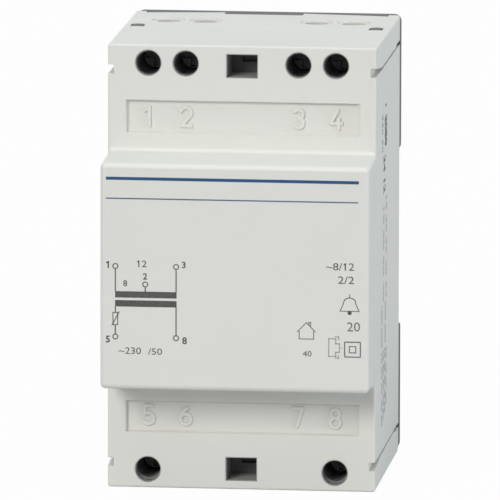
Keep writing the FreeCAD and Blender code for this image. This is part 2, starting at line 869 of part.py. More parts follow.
def contact_bar(x, row):
    return box(x - bar_half_width, x + bar_half_width, bar_front, bar_rear,
               row * bar_foot, row * (cage_high - bar_top_gap))


def tongue(row):
    """Plug of the block that closes the rear of the housing's middle pocket, with a slot."""
    front = pocket_depth + block_pocket_gap
    half_x = pocket_width / 2 + pocket_wall - tongue_play
    half_z = pocket_height / 2 + tongue_play
    z = row * pocket_line
    body = box(-half_x, half_x, front, block_face + bite, z - half_z, z + half_z)
    slot = box(tongue_slot_start, pocket_width / 2, front - past, front + tongue_slot_depth,
               z - tongue_slot_height / 2, z + tongue_slot_height / 2)
    return body.cut(slot)


def terminal_room(x, row):
    """What one terminal takes out of its block: cage pocket, screw bores and bar slot."""
    z = row * screw_line
    pocket_x = cage_half_width + cage_play
    return [
        box(x - pocket_x, x + pocket_x, cage_pocket_front, cage_rear + cage_rear_play,
            row * (cage_low - cage_play), row * (half_height + past)),
        rod_y(seat_bore_r, x, z, front_wall, head_seat),
        rod_y(screw_r + shank_bore_play, x, z, head_seat - past, cage_pocket_front + past),
        box(x - bar_half_width, x + bar_half_width, bar_front, bar_rear,
            row * (block_low - past), row * cage_low),
    ]


def terminal_block(row):
    """Dark moulding that carries one row of terminals on the base's floor."""
    columns = [x for x, side in terminals.values() if side == row]
    half_x = outer_column + cage_half_width + cage_play + block_side_wall
    pieces = [box(-half_x, half_x, block_face, floor_front, row * block_low,
                  row * block_high)]
    guide_room = box(-half_x, half_x, front_wall + guide_gap, block_face + bite, 0,
                     row * block_high)
    for x in columns:
        guide = rod_y(seat_bore_r + guide_wall, x, row * screw_line, front_wall,
                      block_face + bite)
        pieces.append(guide.common(guide_room))
    pieces.append(tongue(row))
    body = pieces[0].multiFuse(pieces[1:])
    relief = box(-relief_half_width, relief_half_width, block_face + relief_front_wall,
                 floor_front - relief_rear_wall, row * (block_low - past),
                 row * (half_height + past))
    cuts = [relief]
    for x in columns:
        cuts += terminal_room(x, row)
    return body.cut(cuts)


# Leads
def round_lead(points):
    """Round wire along straight runs with a tangent arc at each inner point (x, z)."""
    edges = []
    last = Vector(points[0][0], bar_middle, points[0][1])
    for before, here, after in zip(points, points[1:], points[2:]):
        corner = Vector(here[0], bar_middle, here[1])
        way_in = Vector(here[0] - before[0], 0, here[1] - before[1]).normalize()
        way_out = Vector(after[0] - here[0], 0, after[1] - here[1]).normalize()
        start = corner - way_in * lead_bend
        end = corner + way_out * lead_bend
        centre = start + way_out * lead_bend
        middle = centre + (corner - centre).normalize() * lead_bend
        edges.append(Part.makeLine(last, start))
        edges.append(Part.Arc(start, middle, end).toShape())
        last = end
    edges.append(Part.makeLine(last, Vector(points[-1][0], bar_middle, points[-1][1])))
    path = Part.Wire(edges)
    first = Vector(points[0][0], bar_middle, points[0][1])
    way = Vector(points[1][0] - points[0][0], 0, points[1][1] - points[0][1])
    section = Part.Wire(Part.makeCircle(lead_r, first, way))
    return path.makePipeShell([section], True, False)


def terminal_lead(x, row):
    """Lead from a former pin to the foot of its contact bar."""
    pin_x = pin_place(x)
    return round_lead([(pin_x, row * pin_tip), (pin_x, row * lead_cross),
                       (x, row * lead_cross), (x, row * bar_foot)])


def thermistor_x():
    x = terminals[5][0]
    return (pin_place(x) + x) / 2


def thermistor():
    """Disc on edge in the lead of terminal 5."""
    x = thermistor_x() - thermistor_thickness / 2
    place = Vector(x, stack_rear + thermistor_gap + thermistor_d / 2, -lead_cross)
    return Part.makeCylinder(thermistor_d / 2, thermistor_thickness, place, Vector(1, 0, 0))


def pin_side_lead():
    """Lead from the former's pin to the thermistor."""
    pin_x = pin_place(terminals[5][0])
    face = thermistor_x() + thermistor_thickness / 2
    return round_lead([(pin_x, -pin_tip), (pin_x, -lead_cross), (face, -lead_cross)])


def bar_side_lead():
    """Lead from the thermistor to the contact bar of terminal 5."""
    x = terminals[5][0]
    face = thermistor_x() - thermistor_thickness / 2
    return round_lead([(face, -lead_cross), (x, -lead_cross), (x, -bar_foot)])


save("front_housing", front_housing())
save("rear_base", rear_base())
save("rail_latch", rail_latch())
save("latch_spring", latch_spring())
save("core_e_stack", core_e_stack())
save("core_i_stack", core_i_stack())
save("coil_bobbin", coil_bobbin())
save("bobbin_pins", bobbin_pins())
save("primary_winding", winding(-1))
save("secondary_winding", winding(1))
save("primary_tape", winding_tape(-1))
save("secondary_tape", winding_tape(1))
save("upper_terminal_block", terminal_block(1))
save("lower_terminal_block", terminal_block(-1))
save("thermistor", thermistor())
save("lead_5_pin_side", pin_side_lead())
save("lead_5_bar_side", bar_side_lead())
for number in (1, 2, 3, 8):
    save("lead_" + str(number), terminal_lead(*terminals[number]))
for number, (x, row) in terminals.items():
    save("terminal_screw_" + str(number), terminal_screw(x, row))
    save("terminal_cage_" + str(number), terminal_cage(x, row))
    save("contact_bar_" + str(number), contact_bar(x, row))
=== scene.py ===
"""Finish, print and studio for a bell transformer in a modular rail housing.

Metres, in the part's own frame: the origin is the middle of the foot, the front faces -Y
and +Z is up. Print is drawn in millimetres: on the front by its distance across and up from
the middle of the raised block, and on the right side by its distance down from the middle of
the height and back from the terminal face.
"""

import json
import math

import bmesh
import bpy
from mathutils import Matrix, Vector


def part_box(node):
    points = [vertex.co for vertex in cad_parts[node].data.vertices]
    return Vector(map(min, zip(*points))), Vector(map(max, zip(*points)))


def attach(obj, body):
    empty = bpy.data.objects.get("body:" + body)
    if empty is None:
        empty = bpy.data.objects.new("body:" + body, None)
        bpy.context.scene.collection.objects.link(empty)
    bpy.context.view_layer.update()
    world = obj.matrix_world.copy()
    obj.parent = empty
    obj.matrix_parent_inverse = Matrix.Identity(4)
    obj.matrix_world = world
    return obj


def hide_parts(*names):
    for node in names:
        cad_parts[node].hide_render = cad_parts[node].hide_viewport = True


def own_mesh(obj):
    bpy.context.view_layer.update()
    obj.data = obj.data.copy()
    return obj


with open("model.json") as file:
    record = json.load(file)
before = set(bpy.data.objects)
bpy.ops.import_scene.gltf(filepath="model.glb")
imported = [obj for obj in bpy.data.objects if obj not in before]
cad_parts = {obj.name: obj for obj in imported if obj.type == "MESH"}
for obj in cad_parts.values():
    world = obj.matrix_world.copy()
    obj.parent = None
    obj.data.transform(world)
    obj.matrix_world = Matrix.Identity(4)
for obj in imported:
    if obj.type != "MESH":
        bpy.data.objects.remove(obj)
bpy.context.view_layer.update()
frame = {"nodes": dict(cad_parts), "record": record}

mm = 0.001
quarter_turn = math.radians(90)

# Places taken from the frame
housing_low, housing_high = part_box("front_housing")
middle_height = (housing_low.z + housing_high.z) / 2
block_front = housing_low.y
block_rise = 13.0 * mm
terminal_face = block_front + block_rise
side_face = housing_high.x


# Nodes that the materials are built from
def feed(tree, socket, value):
    """Gives a socket a number or a colour, or links another socket to it."""
    if isinstance(value, bpy.types.NodeSocket):
        tree.links.new(value, socket)
    elif isinstance(value, tuple):
        socket.default_value = (*value, 1.0)
    else:
        socket.default_value = value


def new_material(name, color, roughness, metallic=0.0, specular=0.5):
    """Material with one Principled shader that holds the plain values."""
    material = bpy.data.materials.new(name)
    material.use_nodes = True
    shader = material.node_tree.nodes["Principled BSDF"]
    shader.inputs["Base Color"].default_value = (*color, 1.0)
    shader.inputs["Roughness"].default_value = roughness
    shader.inputs["Metallic"].default_value = metallic
    shader.inputs["Specular IOR Level"].default_value = specular
    return material, shader


def new_group(name, inputs, outputs):
    """Empty node group with the named inputs, each with a start value, and outputs."""
    group = bpy.data.node_groups.new(name, "ShaderNodeTree")
    for label, kind, value in inputs:
        socket = group.interface.new_socket(name=label, in_out="INPUT", socket_type=kind)
        socket.default_value = value
    for label, kind in outputs:
        group.interface.new_socket(name=label, in_out="OUTPUT", socket_type=kind)
    return group, group.nodes.new("NodeGroupInput"), group.nodes.new("NodeGroupOutput")


def add_group(tree, group):
    """Places a node group in a material."""
    node = tree.nodes.new("ShaderNodeGroup")
    node.node_tree = group
    return node


def object_place(tree):
    """Object coordinates, in which every pattern is drawn."""
    return tree.nodes.new("ShaderNodeTexCoord").outputs["Object"]


def add_noise(tree, place, scale, detail, roughness=0.5):
    """Noise over a place. Its scale is a number or a socket."""
    node = tree.nodes.new("ShaderNodeTexNoise")
    feed(tree, node.inputs["Vector"], place)
    feed(tree, node.inputs["Scale"], scale)
    feed(tree, node.inputs["Detail"], detail)
    feed(tree, node.inputs["Roughness"], roughness)
    return node.outputs["Fac"]


def add_math(tree, operation, first, second=0.0):
    """Math node on two values, each a number or a socket."""
    node = tree.nodes.new("ShaderNodeMath")
    node.operation = operation
    feed(tree, node.inputs[0], first)
    feed(tree, node.inputs[1], second)
    return node.outputs[0]


def add_range(tree, value, low, high, to_low=0.0, to_high=1.0):
    """Value spread from one range to another and held inside it."""
    node = tree.nodes.new("ShaderNodeMapRange")
    limits = {"Value": value, "From Min": low, "From Max": high,
              "To Min": to_low, "To Max": to_high}
    for label, limit in limits.items():
        feed(tree, node.inputs[label], limit)
    return node.outputs["Result"]


def add_mix(tree, factor, first, second):
    """Mix of two colours, each a triple or a socket."""
    node = tree.nodes.new("ShaderNodeMix")
    node.data_type = "RGBA"
    first_color, second_color, mixed_color = node.inputs[6], node.inputs[7], node.outputs[2]
    feed(tree, node.inputs["Factor"], factor)
    feed(tree, first_color, first)
    feed(tree, second_color, second)
    return mixed_color


def add_bump(tree, height, distance, normal=None):
    """Bump whose height of 1 stands for a distance in metres."""
    node = tree.nodes.new("ShaderNodeBump")
    node.inputs["Strength"].default_value = 1.0
    node.inputs["Distance"].default_value = distance
    feed(tree, node.inputs["Height"], height)
    if normal is not None:
        feed(tree, node.inputs["Normal"], normal)
    return node.outputs["Normal"]


# Patterns that more than one material uses
def make_grain_group():
    """Fine moulded grain: a height for bump, and a slow cloudiness."""
    fine_detail, fine_roughness = 4.0, 0.6
    broad_scale, broad_detail, broad_share = 55.0, 2.0, 0.6
    cloud_low, cloud_high = 0.3, 0.7
    group, start, end = new_group(
        "moulded_grain",
        [("Place", "NodeSocketVector", (0, 0, 0)), ("Grain Scale", "NodeSocketFloat", 3200.0)],
        [("Height", "NodeSocketFloat"), ("Cloud", "NodeSocketFloat")])
    place = start.outputs["Place"]
    fine = add_noise(group, place, start.outputs["Grain Scale"], fine_detail, fine_roughness)
    broad = add_noise(group, place, broad_scale, broad_detail)
    height = add_math(group, "ADD", fine, add_math(group, "MULTIPLY", broad, broad_share))
    feed(group, end.inputs["Height"], height)
    feed(group, end.inputs["Cloud"], add_range(group, broad, cloud_low, cloud_high))
    return group


def make_band_group():
    """Even bands along one axis, such as laminations or turns of wire."""
    half_band, gap_start = 0.5, 0.4
    group, start, end = new_group(
        "even_bands",
        [("Along", "NodeSocketFloat", 0.0), ("Pitch", "NodeSocketFloat", 0.001)],
        [("Height", "NodeSocketFloat"), ("Gap", "NodeSocketFloat")])
    bands = add_math(group, "DIVIDE", start.outputs["Along"], start.outputs["Pitch"])
    phase = add_math(group, "FRACT", bands)
    from_middle = add_math(group, "ABSOLUTE", add_math(group, "SUBTRACT", phase, half_band))
    square = add_math(group, "MULTIPLY", from_middle, from_middle)
    feed(group, end.inputs["Height"], add_math(group, "SUBTRACT", half_band ** 2, square))
    feed(group, end.inputs["Gap"], add_range(group, from_middle, gap_start, half_band))
    return group


grain_group = make_grain_group()
band_group = make_band_group()


# Materials
def moulded_plastic(name, color, worn_color, roughness, grain_scale, grain_height,
                    edge_radius=0.0):
    """Moulded plastic: fine grain, slight clouding of its colour and softened edges."""
    roughness_spread = 0.04
    edge_samples = 6
    material, shader = new_material(name, color, roughness)
    tree = material.node_tree
    grain = add_group(tree, grain_group)
    cloud = grain.outputs["Cloud"]
    feed(tree, grain.inputs["Place"], object_place(tree))
    feed(tree, grain.inputs["Grain Scale"], grain_scale)
    feed(tree, shader.inputs["Base Color"], add_mix(tree, cloud, color, worn_color))
    feed(tree, shader.inputs["Roughness"],
         add_range(tree, cloud, 0.0, 1.0, roughness - roughness_spread,
                   roughness + roughness_spread))
    soft_edge = None
    if edge_radius:
        edge = tree.nodes.new("ShaderNodeBevel")
        edge.samples = edge_samples
        edge.inputs["Radius"].default_value = edge_radius
        soft_edge = edge.outputs["Normal"]
    feed(tree, shader.inputs["Normal"],
         add_bump(tree, grain.outputs["Height"], grain_height, soft_edge))
    return material


def plated_metal(name, color, dull_color, roughness, stretch, grain_height):
    """Plated or drawn metal with fine streaks and dull patches.

    The streaks are drawn out along the axis that has the least stretch value.
    """
    streak_scale, streak_roughness = 1500.0, 0.6
    patch_scale, detail = 260.0, 3.0
    streak_low, streak_high = 0.25, 0.75
    dull_low, dull_high = 0.42, 0.68
    smoother, rougher = 0.08, 0.12
    material, shader = new_material(name, color, roughness, metallic=1.0)
    tree = material.node_tree
    place = object_place(tree)
    stretched = tree.nodes.new("ShaderNodeMapping")
    stretched.inputs["Scale"].default_value = stretch
    feed(tree, stretched.inputs["Vector"], place)
    streaks = add_noise(tree, stretched.outputs["Vector"], streak_scale, detail,
                        streak_roughness)
    patches = add_noise(tree, place, patch_scale, detail)
    dull = add_range(tree, patches, dull_low, dull_high)
    feed(tree, shader.inputs["Base Color"], add_mix(tree, dull, color, dull_color))
    feed(tree, shader.inputs["Roughness"],
         add_range(tree, streaks, streak_low, streak_high, roughness - smoother,
                   roughness + rougher))
    feed(tree, shader.inputs["Normal"], add_bump(tree, streaks, grain_height))
    return material


def banded(name, color, gap_color, roughness, metallic, axis, pitch, band_height):
    """Even bands along an axis, such as laminations or turns of wire, dark between them."""
    shade = 0.8
    smoother, rougher = 0.05, 0.08
    shaded_color = tuple(shade * share for share in color)
    material, shader = new_material(name, color, roughness, metallic=metallic)
    tree = material.node_tree
    place = object_place(tree)
    split = tree.nodes.new("ShaderNodeSeparateXYZ")
    feed(tree, split.inputs["Vector"], place)
    bands = add_group(tree, band_group)
    feed(tree, bands.inputs["Along"], split.outputs[axis])
    feed(tree, bands.inputs["Pitch"], pitch)
    grain = add_group(tree, grain_group)
    cloud = grain.outputs["Cloud"]
    feed(tree, grain.inputs["Place"], place)
    clouded = add_mix(tree, cloud, color, shaded_color)
    feed(tree, shader.inputs["Base Color"],
         add_mix(tree, bands.outputs["Gap"], clouded, gap_color))
    feed(tree, shader.inputs["Roughness"],
         add_range(tree, cloud, 0.0, 1.0, roughness - smoother, roughness + rougher))
    feed(tree, shader.inputs["Normal"], add_bump(tree, bands.outputs["Height"], band_height))
    return material


def printed_ink(name, color, worn_color):
    """Pad-printed ink, slightly uneven and thin in places."""
    roughness, specular = 0.55, 0.3
    uneven_scale, uneven_detail, uneven_roughness = 2600.0, 3.0, 0.6
    thin_low, thin_high = 0.45, 0.75
    material, shader = new_material(name, color, roughness, specular=specular)
    tree = material.node_tree
    uneven = add_noise(tree, object_place(tree), uneven_scale, uneven_detail,
                       uneven_roughness)
    thin = add_range(tree, uneven, thin_low, thin_high)
    feed(tree, shader.inputs["Base Color"], add_mix(tree, thin, color, worn_color))
    return material


finishes = {
    "light_housing": moulded_plastic(
        "light_grey_moulding", (0.76, 0.75, 0.715), (0.745, 0.735, 0.70), roughness=0.42,
        grain_scale=2600.0, grain_height=0.012 * mm, edge_radius=0.25 * mm),
    "dark_base": moulded_plastic(
        "dark_grey_moulding", (0.060, 0.062, 0.064), (0.050, 0.052, 0.054), roughness=0.5,
        grain_scale=2400.0, grain_height=0.02 * mm, edge_radius=0.2 * mm),
    "block_plastic": moulded_plastic(
        "dark_block_moulding", (0.20, 0.20, 0.202), (0.17, 0.17, 0.172), roughness=0.5,
        grain_scale=2400.0, grain_height=0.015 * mm, edge_radius=0.15 * mm),
    # Grey of the collars and liners that paint shade inside the front's openings
    "shade_sleeve_plastic": moulded_plastic(
        "grey_moulding_for_painted_shade", (0.44, 0.44, 0.435), (0.40, 0.40, 0.395), roughness=0.5,
        grain_scale=2400.0, grain_height=0.015 * mm),
    "former_plastic": moulded_plastic(
        "cream_moulding", (0.78, 0.74, 0.62), (0.74, 0.70, 0.58), roughness=0.4,
        grain_scale=2000.0, grain_height=0.01 * mm, edge_radius=0.15 * mm),
    "thermistor_body": moulded_plastic(
        "dipped_blue_coating", (0.06, 0.12, 0.36), (0.05, 0.10, 0.30), roughness=0.3,
        grain_scale=500.0, grain_height=0.1 * mm, edge_radius=0.6 * mm),
    "lead_sleeve": moulded_plastic(
        "red_lead_insulation", (0.48, 0.03, 0.025), (0.42, 0.025, 0.02), roughness=0.38,
        grain_scale=1500.0, grain_height=0.01 * mm),
    "coil_tape": moulded_plastic(
        "amber_tape", (0.72, 0.50, 0.07), (0.66, 0.43, 0.05), roughness=0.22,
        grain_scale=300.0, grain_height=0.06 * mm, edge_radius=0.6 * mm),
    "enamelled_copper": banded(
        "enamelled_wire", (0.52, 0.17, 0.06), (0.10, 0.03, 0.01), roughness=0.28,
        metallic=0.6, axis="X", pitch=0.4 * mm, band_height=0.4 * mm),
    "core_iron": banded(
        "varnished_laminations", (0.16, 0.16, 0.165), (0.03, 0.028, 0.025), roughness=0.5,
        metallic=0.5, axis="Y", pitch=0.5 * mm, band_height=0.1 * mm),
    "tinned_pin": plated_metal(
        "tinned_pin_metal", (0.66, 0.65, 0.62), (0.5, 0.5, 0.48), roughness=0.35,
        stretch=(1.0, 1.0, 0.1), grain_height=0.01 * mm),
    "contact_brass": plated_metal(
        "stamped_brass", (0.78, 0.60, 0.28), (0.62, 0.45, 0.2), roughness=0.3,
        stretch=(1.0, 1.0, 0.08), grain_height=0.01 * mm),
    # Screw steel darker than plated steel: painted shade deep in the tool holes
    "screw_steel": plated_metal(
        "screw_steel_with_painted_shade", (0.13, 0.13, 0.132), (0.09, 0.09, 0.092), roughness=0.5,
        stretch=(1.0, 0.12, 1.0), grain_height=0.01 * mm),
    "cage_steel": plated_metal(
        "zinc_plated_cage", (0.60, 0.60, 0.61), (0.46, 0.46, 0.47), roughness=0.38,
        stretch=(1.0, 0.1, 1.0), grain_height=0.01 * mm),
    "spring_steel": plated_metal(
        "drawn_spring_wire", (0.52, 0.52, 0.53), (0.4, 0.4, 0.41), roughness=0.3,
        stretch=(1.0, 1.0, 1.0), grain_height=0.005 * mm),
}

dark_ink = printed_ink("dark_grey_print", (0.085, 0.082, 0.078), (0.12, 0.116, 0.11))
grey_ink = printed_ink("mid_grey_print", (0.15, 0.146, 0.14), (0.20, 0.195, 0.188))
faint_ink = printed_ink("faint_grey_print", (0.34, 0.345, 0.34), (0.42, 0.425, 0.42))
pale_ink = printed_ink("pale_grey_print", (0.42, 0.425, 0.43), (0.49, 0.495, 0.50))
blue_ink = printed_ink("blue_print", (0.018, 0.075, 0.20), (0.026, 0.095, 0.235))
thin_blue_ink = printed_ink("thin_blue_print", (0.08, 0.14, 0.22), (0.12, 0.18, 0.26))

for part in frame["record"]["subparts"]:
    node = frame["nodes"][part["node"]]
    node.data.materials.clear()
    node.data.materials.append(finishes[part["material_slot"]])


# Making pieces
def take_mesh(name, shape):
    """Mesh made from a bmesh, which is then freed."""
    mesh = bpy.data.meshes.new(name)
    shape.to_mesh(mesh)
    shape.free()
    return mesh


def new_points(grown):
    """Points among what an extrusion has made."""
    return [item for item in grown["geom"] if isinstance(item, bmesh.types.BMVert)]


def new_edges(grown):
    """Edges among what an extrusion has made."""
    return [item for item in grown["geom"] if isinstance(item, bmesh.types.BMEdge)]


def add_object(name, data):
    """Puts a mesh, a text, a lamp or a camera in the scene."""
    item = bpy.data.objects.new(name, data)
    bpy.context.scene.collection.objects.link(item)
    return item


def add_piece(name, mesh, finish):
    """Puts a finished mesh in the scene as a piece that is fixed to the housing."""
    mesh.materials.append(finish)
    piece = add_object(name, mesh)
    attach(piece, "case")
    return piece


# Grey collars and liners just inside the mouths of the front's openings: painted shade on the
# openings' walls
sleeve_behind_face = 0.04 * mm


def make_shade_sleeve(name, outline, inner_share, across, height, length):
    """Open sleeve of painted shade: an outline's edges drawn back, then in by the wall, then
    forward again.
    """
    outer_mouth = outline.edges[:]
    grown = bmesh.ops.extrude_edge_only(outline, edges=outer_mouth)
    bmesh.ops.translate(outline, verts=new_points(grown), vec=(0, 0, length))
    grown = bmesh.ops.extrude_edge_only(outline, edges=new_edges(grown))
    bmesh.ops.scale(outline, verts=new_points(grown), vec=(*inner_share, 1.0))
    grown = bmesh.ops.extrude_edge_only(outline, edges=new_edges(grown))
    bmesh.ops.translate(outline, verts=new_points(grown), vec=(0, 0, -length))
    bmesh.ops.bridge_loops(outline, edges=outer_mouth + new_edges(grown))
    bmesh.ops.recalc_face_normals(outline, faces=outline.faces[:])
    place = Matrix.Translation((across, terminal_face + sleeve_behind_face, height))
    turn = Matrix.Rotation(-quarter_turn, 4, "X")
    bmesh.ops.transform(outline, matrix=place @ turn, verts=outline.verts[:])
    add_piece(name, take_mesh(name, outline), finishes["shade_sleeve_plastic"])


def make_shade_collars():
    """Grey ring just behind the edge of each tool hole, painted shade on the hole's wall."""
    outer, inner, length = 2.69 * mm, 2.54 * mm, 2.21 * mm
    sides = 48
    for mount in frame["record"]["mounts"]:
        if mount["name"].startswith("tool_hole_"):
            across, _, height = mount["pos_m"]
            ring = bmesh.new()
            bmesh.ops.create_circle(ring, radius=outer, segments=sides)
            make_shade_sleeve(mount["name"].replace("tool_hole", "painted_shade_collar"), ring,
                        (inner / outer, inner / outer), across, height, length)


def make_shade_liners():
    """Grey rectangular liner in each middle pocket, painted shade on the pocket's walls."""
    half_wide, half_tall, wall = 3.205 * mm, 2.44 * mm, 0.12 * mm
    length = 9.0 * mm
    from_middle = 40.87 * mm
    inner_share = (1 - wall / half_wide, 1 - wall / half_tall)
    for name, row in (("upper_painted_shade_liner", 1), ("lower_painted_shade_liner", -1)):
        mouth = bmesh.new()
        bmesh.ops.create_grid(mouth, x_segments=1, y_segments=1, size=1.0,
                              matrix=Matrix.Diagonal((half_wide, half_tall, 1.0, 1.0)))
        bmesh.ops.delete(mouth, geom=mouth.faces[:], context="FACES_ONLY")
        make_shade_sleeve(name, mouth, inner_share, 0.0, middle_height + row * from_middle, length)


# Latch spring
def make_latch_spring():
    """Coil between the base's peg and the latch."""
    low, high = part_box("latch_spring")
    wire_radius = 0.25 * mm
    wire_sides = 12
    turns, steps_a_turn = 7, 28
    middle = (low + high) / 2
    coil_radius = (high.x - low.x) / 2 - wire_radius
    rise = high.z - low.z - 2 * wire_radius
    steps = turns * steps_a_turn
    coil = bmesh.new()
    start = Matrix.Translation((middle.x + coil_radius, middle.y, low.z + wire_radius))
    ring = bmesh.ops.create_circle(coil, radius=wire_radius, segments=wire_sides,
                                   matrix=start @ Matrix.Rotation(quarter_turn, 4, "X"))
    bmesh.ops.spin(coil, geom=ring["verts"] + coil.edges[:], cent=(middle.x, middle.y, 0),
                   axis=(0, 0, 1), dvec=(0, 0, rise / steps), angle=math.radians(360 * turns),
                   space=Matrix.Identity(4), steps=steps, use_merge=False)
    bmesh.ops.holes_fill(coil, edges=coil.edges[:], sides=wire_sides)
    bmesh.ops.recalc_face_normals(coil, faces=coil.faces[:])
    for face in coil.faces:
        is_end = len(face.verts) == wire_sides
        face.smooth = not is_end
    piece = add_piece("latch_coil", take_mesh("latch_coil", coil), finishes["spring_steel"])
    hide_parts("latch_spring")
    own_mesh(piece)


make_shade_collars()
make_shade_liners()
make_latch_spring()


# Print. Flat shapes are drawn in millimetres, across and up, then raised and put on a face.
ink_rise = 0.02

front_plane = (Matrix.Translation((0, block_front, middle_height))
               @ Matrix.Rotation(quarter_turn, 4, "X")
               @ Matrix.Scale(mm, 4))

# On the right side the print reads downwards
side_plane = (Matrix.Translation((side_face, terminal_face, middle_height))
              @ Matrix.Rotation(quarter_turn, 4, "Z")
              @ Matrix.Rotation(quarter_turn, 4, "X")
              @ Matrix.Rotation(-quarter_turn, 4, "Z")
              @ Matrix.Scale(mm, 4))


def flat_block(ink, middle, wide, tall, angle=0.0):
    """Printed rectangle about its middle, turned by an angle."""
    half_unit = 0.5
    place = (Matrix.Translation((*middle, 0))
             @ Matrix.Rotation(angle, 4, "Z")
             @ Matrix.Diagonal((wide, tall, 1.0, 1.0)))
    made = bmesh.ops.create_grid(ink, x_segments=1, y_segments=1, size=half_unit,
                                 matrix=place)
    return made["verts"][0].link_faces[0]


def flat_bar(ink, start, end, wide, past=0.0):
    """Straight printed line between two points, carried past each end by a length."""
    start, end = Vector(start), Vector(end)
    along = end - start
    flat_block(ink, (start + end) / 2, along.length + 2 * past, wide,
               math.atan2(along.y, along.x))


def flat_path(ink, points, wide, closed=False):
    """Printed line through points, with square corners."""
    ends = points[1:] + (points[:1] if closed else [])
    for start, end in zip(points, ends):
        flat_bar(ink, start, end, wide, past=wide / 2)


def hollow_face(ink, face, wide):
    """Turns a flat face into an outline of that width."""
    bmesh.ops.inset_region(ink, faces=[face], thickness=wide, use_boundary=True,
                           use_even_offset=True)
    bmesh.ops.delete(ink, geom=[face], context="FACES")


def flat_disc(ink, centre, radius):
    """Printed round spot."""
    sides = 28
    made = bmesh.ops.create_circle(ink, cap_ends=True, radius=radius, segments=sides,
                                   matrix=Matrix.Translation((*centre, 0)))
    return made["verts"][0].link_faces[0]


def flat_ring(ink, centre, radius, wide):
    """Printed ring, with its line inside the radius."""
    hollow_face(ink, flat_disc(ink, centre, radius), wide)


def flat_frame(ink, low, high, wide, corner=0.0):
    """Rectangular outline between two corners, with round corners where given."""
    corner_steps = 5
    low, high = Vector(low), Vector(high)
    size = high - low
    face = flat_block(ink, (low + high) / 2, size.x, size.y)
    if corner:
        rounded = bmesh.ops.bevel(ink, geom=list(face.verts), affect="VERTICES",
                                  offset=corner, segments=corner_steps, profile=0.5,
                                  material=-1)
        face = rounded["verts"][0].link_faces[0]
    hollow_face(ink, face, wide)


def finish_print(name, ink, finish):
    """Raises the flat shapes by the ink's thickness and puts them on the front."""
    raised = bmesh.ops.extrude_face_region(ink, geom=ink.faces[:])
    bmesh.ops.translate(ink, verts=new_points(raised), vec=(0, 0, ink_rise))
    bmesh.ops.recalc_face_normals(ink, faces=ink.faces[:])
    bmesh.ops.transform(ink, matrix=front_plane, verts=ink.verts[:])
    add_piece(name, take_mesh(name, ink), finish)


def letter_mesh(name, text, heavy):
    """Text as a mesh of depth 1 that stands on its plane, its stroke widened by heavy."""
    curve_steps = 3
    half_depth = 0.5
    letters = bpy.data.curves.new(name, "FONT")
    letters.body = text
    letters.size = 1.0
    letters.extrude = half_depth
    letters.offset = heavy
    letters.resolution_u = curve_steps
    source = add_object(name, letters)
    bpy.context.view_layer.update()
    evaluated = source.evaluated_get(bpy.context.evaluated_depsgraph_get())
    mesh = bpy.data.meshes.new_from_object(evaluated)
    mesh.name = name
    mesh.materials.clear()
    mesh.transform(Matrix.Translation((0, 0, half_depth)))
    bpy.data.objects.remove(source)
    bpy.data.curves.remove(letters)
    return mesh


def printed_number(name, text, low, high, finish, heavy, plane):
    """Number fitted between two corners of a plane. One digit alone keeps its shape."""
    mesh = letter_mesh(name, text, heavy)
    xs = [vertex.co.x for vertex in mesh.vertices]
    ys = [vertex.co.y for vertex in mesh.vertices]
    wide, tall = max(xs) - min(xs), max(ys) - min(ys)
    up = (high[1] - low[1]) / tall
    across = up if len(text) == 1 else (high[0] - low[0]) / wide
    centred = Matrix.Translation((-min(xs) - wide / 2, -min(ys), 0))
    size = Matrix.Diagonal((across, up, ink_rise, 1.0))
    place = Matrix.Translation(((low[0] + high[0]) / 2, low[1], 0))
    mesh.transform(plane @ place @ size @ centred)
    add_piece(name, mesh, finish)


def make_title_lines():
    """Thick and thin blue lines across the top of the front."""
    left = -25.8
    lines = {
        "title_line": (24.87, 19.78, 0.62, blue_ink),
        "lower_title_line": (24.75, 15.75, 0.26, thin_blue_ink),
    }
    for name, (right, up, wide, finish) in lines.items():
        ink = bmesh.new()
        flat_bar(ink, (left, up), (right, up), wide)
        finish_print(name, ink, finish)


def make_winding_bars():
    """Thick bar for each winding of the transformer."""
    left, right = -23.95, -11.6
    upper, lower = -3.62, -5.43
    upper_line, lower_line = 1.28, 1.3
    ink = bmesh.new()
    flat_bar(ink, (left, upper), (right, upper), upper_line)
    flat_bar(ink, (left, lower), (right, lower), lower_line)
    finish_print("winding_bars", ink, dark_ink)


def make_diagram_lines():
    """Leads from the winding bars to five terminal rings, with the thermistor in one."""
    left, middle, right = -23.9, -17.9, -11.7
    output_left, output_middle, output_right = 2.08, -1.54, 2.12
    input_left, input_right = -12.18, -12.27
    bars_top, bars_foot = -3.0, -6.08
    ring_radius, ring_line = 0.62, 0.24
    lead_line, thermistor_line = 0.26, 0.2
    thermistor_top, thermistor_foot, half_thermistor = -7.21, -9.87, 0.58
    slash_foot, slash_top = (left - 0.7, -9.95), (left + 0.8, -7.1)
    ink = bmesh.new()
    for centre in ((left, output_left), (right, output_right), (middle, output_middle),
                   (left, input_left), (right, input_right)):
        flat_ring(ink, centre, ring_radius, ring_line)
    for across, start, end in ((left, output_left - ring_radius, bars_top),
                               (right, output_right - ring_radius, bars_top),
                               (middle, output_middle - ring_radius, bars_top),
                               (right, bars_foot, input_right + ring_radius),
                               (left, bars_foot, thermistor_top),
                               (left, thermistor_foot, input_left + ring_radius)):
        flat_bar(ink, (across, start), (across, end), lead_line)
    flat_frame(ink, (left - half_thermistor, thermistor_foot),
               (left + half_thermistor, thermistor_top), thermistor_line)
    flat_bar(ink, slash_foot, slash_top, thermistor_line)
    finish_print("diagram_lines", ink, grey_ink)


